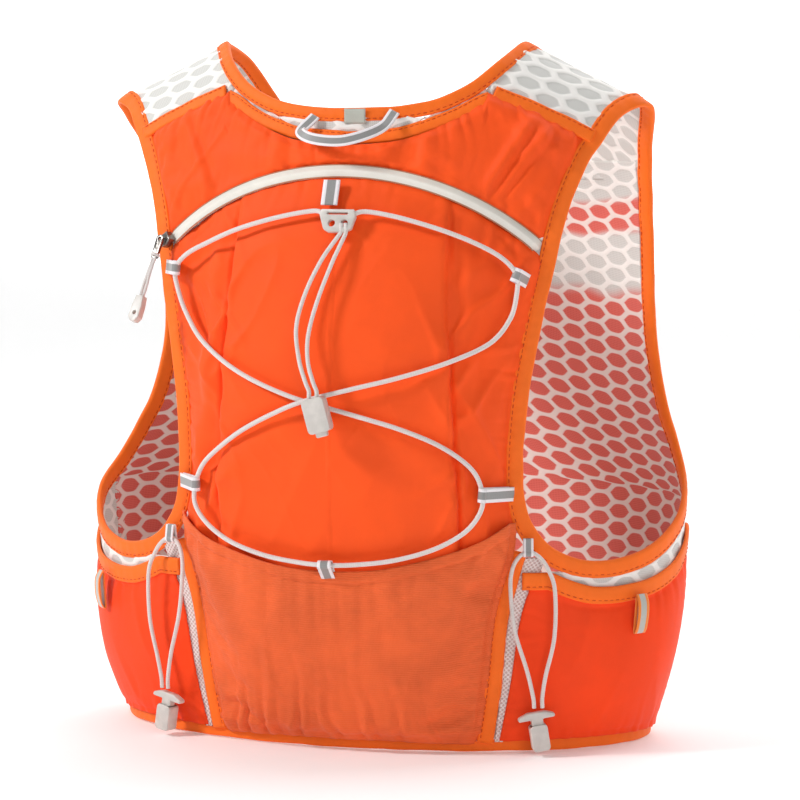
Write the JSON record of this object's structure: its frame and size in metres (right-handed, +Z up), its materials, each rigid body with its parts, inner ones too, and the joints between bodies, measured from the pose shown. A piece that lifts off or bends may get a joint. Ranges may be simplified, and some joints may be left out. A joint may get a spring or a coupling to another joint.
{
  "type": "hydration pack",
  "caption": "Sleeveless running hydration vest with a zipped back compartment, crossed bungee cord, stretch pockets, side cord locks and a chest strap.",
  "frame": {"origin": "on the surface the pack stands on, under the middle of its box (free cords left out)", "axes": "+Z up, the wearer's back (the side with the zip) faces -Y, the wearer's right side is +X"},
  "size_m": [0.36, 0.2443, 0.4016],
  "materials": {
    "orange_fabric": "fine woven nylon, matt",
    "orange_tape": "folded binding tape, stitched",
    "stretch_mesh": "knitted stretch mesh",
    "white_mesh": "honeycomb spacer mesh",
    "reflective_ribbon": "woven reflective ribbon",
    "cream_cord": "braided elastic cord",
    "cream_plastic": "moulded acetal, satin",
    "zip_tape": "coated zip tape",
    "zip_metal": "dark nickel",
    "water_film": "soft clear film",
    "cap_plastic": "moulded cap"
  },
  "bodies": {
    "vest": {"armhole_binding_left": "orange_tape", "armhole_binding_right": "orange_tape", "back_panel": "white_mesh", "bungee": "cream_cord", "cord_lock": "cream_plastic", "cord_loop_bottom": "reflective_ribbon", "cord_loop_lower_left": "reflective_ribbon", "cord_loop_lower_right": "reflective_ribbon", "cord_loop_upper_left": "reflective_ribbon", "cord_loop_upper_right": "reflective_ribbon", "flask_pocket_left": "orange_fabric", "flask_pocket_right": "orange_fabric", "front_panel_left": "white_mesh", "front_panel_right": "white_mesh", "hang_loop": "reflective_ribbon", "hem_binding": "orange_tape", "hook_ribbon": "reflective_ribbon", "main_compartment": "orange_fabric", "mesh_pocket": "stretch_mesh", "neck_binding": "orange_tape", "neck_mesh": "white_mesh", "reservoir": "water_film", "shoulder_band_left": "orange_tape", "shoulder_band_right": "orange_tape", "shoulder_mesh_left": "white_mesh", "shoulder_mesh_right": "white_mesh", "side_cord_left": "cream_cord", "side_cord_ribbon_left": "reflective_ribbon", "side_cord_ribbon_right": "reflective_ribbon", "side_cord_right": "cream_cord", "side_edge_binding_left": "orange_tape", "side_edge_binding_right": "orange_tape", "side_lock_left": "cream_plastic", "side_lock_right": "cream_plastic", "side_panel_left": "white_mesh", "side_panel_right": "white_mesh", "side_pocket_binding_left": "orange_tape", "side_pocket_binding_right": "orange_tape", "side_pocket_left": "orange_fabric", "side_pocket_right": "orange_fabric", "side_spacer_left": "white_mesh", "side_spacer_right": "white_mesh", "tail_cord_left": "cream_cord", "tail_cord_right": "cream_cord", "yoke": "orange_fabric", "yoke_binding": "orange_tape", "zip_tape": "zip_tape"},
    "zip_slider": {"zip_slider": "zip_metal"},
    "zip_pull": {"zip_puller": "zip_metal", "pull_cord": "cream_cord", "pull_tip": "cream_plastic"},
    "hook": {"hook": "cream_plastic"},
    "cord_lock_button": {"cord_lock_button": "cream_plastic"},
    "side_lock_button_left": {"side_lock_button_left": "cream_plastic"},
    "side_lock_button_right": {"side_lock_button_right": "cream_plastic"},
    "reservoir_cap": {"reservoir_cap": "cap_plastic"},
    "chest_strap_left": {"sternum_strap_left": "orange_tape", "buckle_female": "cream_plastic"},
    "chest_strap_right": {"sternum_strap_right": "orange_tape", "buckle_male": "cream_plastic"}
  },
  "joints": [
    {"name": "zip_slider_run", "type": "hinge", "parent": "vest", "child": "zip_slider", "pos_m": [0, -0.01701, 0.19207], "axis": [0, 0.9092, 0.4163], "range_deg": [0, 88]},
    {"name": "zip_pull_lift", "type": "hinge", "parent": "zip_slider", "child": "zip_pull", "pos_m": [-0.11297, -0.06701, 0.28878], "axis": [-0.9431, 0.33, 0.0409], "range_deg": [0, 60]},
    {"name": "hook_lift", "type": "hinge", "parent": "vest", "child": "hook", "pos_m": [0.00219, -0.09412, 0.31083], "axis": [-1, 0, 0], "range_deg": [0, 15]},
    {"name": "reservoir_cap_twist", "type": "hinge", "parent": "vest", "child": "reservoir_cap", "pos_m": [0, -0.08297, 0.245], "axis": [0, -0.9982, 0.0607], "range_deg": [0, 270]},
    {"name": "chest_strap_left_swing", "type": "hinge", "parent": "vest", "child": "chest_strap_left", "pos_m": [-0.07567, 0.07444, 0.30143], "axis": [0.2439, -0.9228, -0.2982], "range_deg": [0, 75]},
    {"name": "chest_strap_right_swing", "type": "hinge", "parent": "vest", "child": "chest_strap_right", "pos_m": [0.07567, 0.07444, 0.30143], "axis": [0.2439, 0.9228, 0.2982], "range_deg": [0, 75]},
    {"name": "cord_lock_press", "type": "slide", "parent": "vest", "child": "cord_lock_button", "axis": [-0.2654, -0.0053, 0.9641], "range_m": [0, 0.0025], "stiffness_N_per_m": 200, "springref_m": -0.004},
    {"name": "side_lock_left_press", "type": "slide", "parent": "vest", "child": "side_lock_button_left", "axis": [-0.1515, 0.0629, -0.9865], "range_m": [0, 0.0025], "stiffness_N_per_m": 200, "springref_m": -0.004},
    {"name": "side_lock_right_press", "type": "slide", "parent": "vest", "child": "side_lock_button_right", "axis": [0.1515, 0.0629, -0.9865], "range_m": [0, 0.0025], "stiffness_N_per_m": 200, "springref_m": -0.004}
  ]
}
